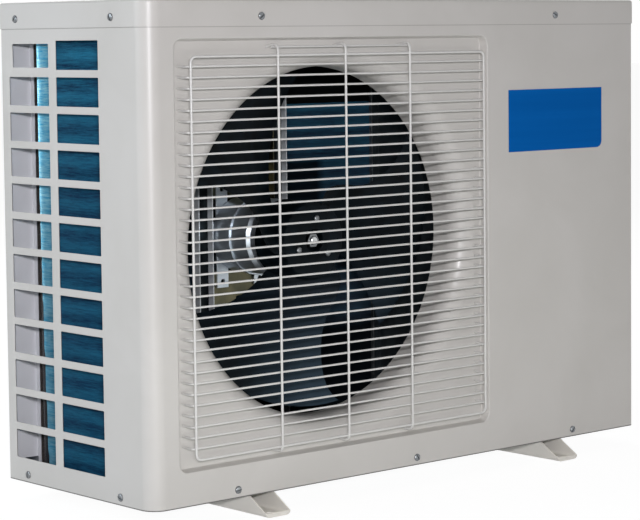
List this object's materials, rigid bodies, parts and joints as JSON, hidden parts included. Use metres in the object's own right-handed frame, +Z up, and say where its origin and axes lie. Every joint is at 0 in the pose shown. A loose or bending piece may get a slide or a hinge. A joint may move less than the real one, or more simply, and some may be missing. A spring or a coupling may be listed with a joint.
{
  "type": "pool heat pump unit",
  "caption": "Free-standing sheet steel heat pump unit with a recessed wire fan grille, a bent finned coil behind side windows, pressed feet and side water unions.",
  "frame": {"origin": "on the ground under the middle of the whole unit's box, feet, rear guard and water unions included", "axes": "+X to the right seen from the grille side, towards the water unions; +Y from the grille to the rear coil; +Z up"},
  "size_m": [0.872, 0.346, 0.6],
  "materials": {
    "case_paint": "satin light grey powder coat",
    "case_plastic": "light grey moulding",
    "galvanised_sheet": "galvanised, fine spangle",
    "coated_wire": "white plastic coated wire",
    "blue_fins": "blue coated fins",
    "dark_plastic": "dark grey moulding",
    "motor_shell": "bare pressed shell",
    "bright_steel": "bright turned steel",
    "yellow_zinc": "yellow zinc plated sheet",
    "black_paint": "black enamel",
    "black_rubber": "matte",
    "copper_tube": "drawn copper tube",
    "brass_body": "machined brass",
    "pipe_plastic": "grey pipe plastic",
    "board_green": "lacquered circuit board",
    "pale_can": "drawn can",
    "ivory_plastic": "ivory moulding"
  },
  "bodies": {
    "unit": {"front_panel": "case_paint", "fan_ring": "case_paint", "top_cover": "case_paint", "service_panel": "case_paint", "service_cover": "case_plastic", "base_pan": "galvanised_sheet", "foot_left": "case_paint", "foot_right": "case_paint", "drain_spigot": "dark_plastic", "wire_grille": "coated_wire", "rear_guard": "coated_wire", "evaporator_coil": "blue_fins", "coil_front_sheet": "galvanised_sheet", "coil_tube_sheet": "galvanised_sheet", "coil_blank": "black_paint", "fan_motor": "motor_shell", "motor_bracket": "yellow_zinc", "partition_panel": "galvanised_sheet", "compressor": "black_paint", "compressor_grommet_1": "black_rubber", "compressor_grommet_2": "black_rubber", "compressor_grommet_3": "black_rubber", "suction_accumulator": "black_paint", "reversing_valve": "brass_body", "expansion_valve": "brass_body", "discharge_pipe": "copper_tube", "suction_pipe": "copper_tube", "coil_gas_pipe": "copper_tube", "exchanger_gas_pipe": "copper_tube", "liquid_pipe": "copper_tube", "coil_liquid_pipe": "copper_tube", "water_heat_exchanger": "dark_plastic", "water_inlet_union": "pipe_plastic", "water_inlet_tail": "pipe_plastic", "water_outlet_union": "pipe_plastic", "water_outlet_tail": "pipe_plastic", "electric_box": "galvanised_sheet", "control_board": "board_green", "run_capacitor": "pale_can", "terminal_block": "ivory_plastic", "cable_gland": "dark_plastic"},
    "fan": {"fan_wheel": "dark_plastic", "fan_nut": "bright_steel", "motor_shaft": "bright_steel"},
    "inlet_nut": {"water_inlet_nut": "dark_plastic"},
    "outlet_nut": {"water_outlet_nut": "dark_plastic"}
  },
  "joints": [
    {"name": "fan_spin", "type": "hinge", "parent": "unit", "child": "fan", "pos_m": [-0.14475, -0.062, 0.3085], "axis": [0, 1, 0], "continuous": true},
    {"name": "inlet_nut_spin", "type": "hinge", "parent": "unit", "child": "inlet_nut", "pos_m": [0.404, 0.076, 0.123], "axis": [1, 0, 0], "continuous": true},
    {"name": "outlet_nut_spin", "type": "hinge", "parent": "unit", "child": "outlet_nut", "pos_m": [0.404, 0.076, 0.323], "axis": [1, 0, 0], "continuous": true}
  ]
}
